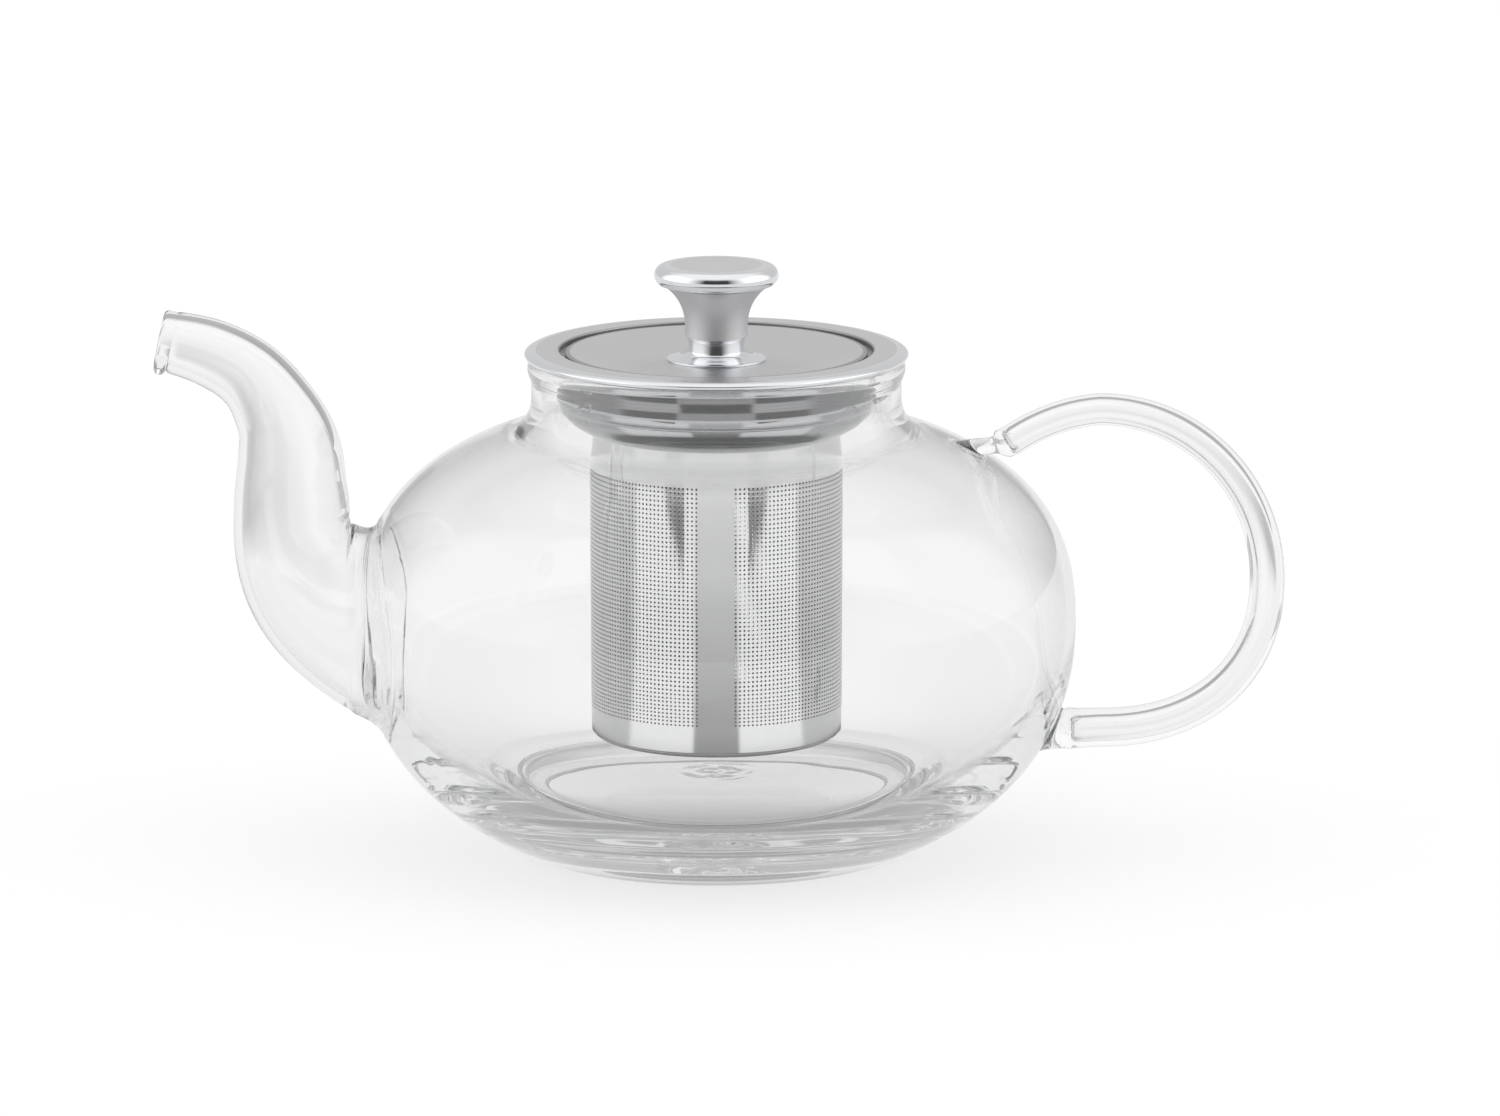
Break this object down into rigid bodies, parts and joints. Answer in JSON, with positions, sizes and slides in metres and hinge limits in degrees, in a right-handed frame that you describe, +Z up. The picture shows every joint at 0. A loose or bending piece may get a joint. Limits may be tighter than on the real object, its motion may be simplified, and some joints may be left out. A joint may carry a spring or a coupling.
{
  "type": "teapot",
  "caption": "Round glass teapot with a curved pipe spout, a looped glass handle, a lift-out perforated steel infuser and a lift-off steel lid with a trumpet knob.",
  "frame": {"origin": "on the table, at the pot's axis, which is the middle of the object's box within 1 mm", "axes": "+Z up along the axis of the pot and the lid, -X towards the spout, +X towards the handle, front at -Y"},
  "size_m": [0.2367, 0.1506, 0.1236],
  "materials": {
    "glass": "clear polished borosilicate",
    "steel_satin": "fine satin",
    "steel_polished": "mirror polished stainless steel"
  },
  "bodies": {
    "pot": {"glass_body": "glass", "glass_spout": "glass", "glass_handle": "glass"},
    "infuser": {"infuser_flange": "steel_polished", "infuser_bowl": "steel_polished", "infuser_sleeve": "steel_satin", "infuser_base": "steel_satin"},
    "lid": {"lid_plate": "steel_satin", "lid_skirt": "steel_satin", "lid_washer": "steel_satin", "lid_screw": "steel_polished", "knob_foot": "steel_polished", "knob_stem": "steel_satin", "knob_cap": "steel_polished"}
  },
  "joints": [
    {"name": "infuser_lift", "type": "slide", "parent": "pot", "child": "infuser", "axis": [0, 0, 1], "range_m": [0, 0.11]},
    {"name": "lid_lift", "type": "slide", "parent": "infuser", "child": "lid", "axis": [0, 0, 1], "range_m": [0, 0.05]}
  ]
}
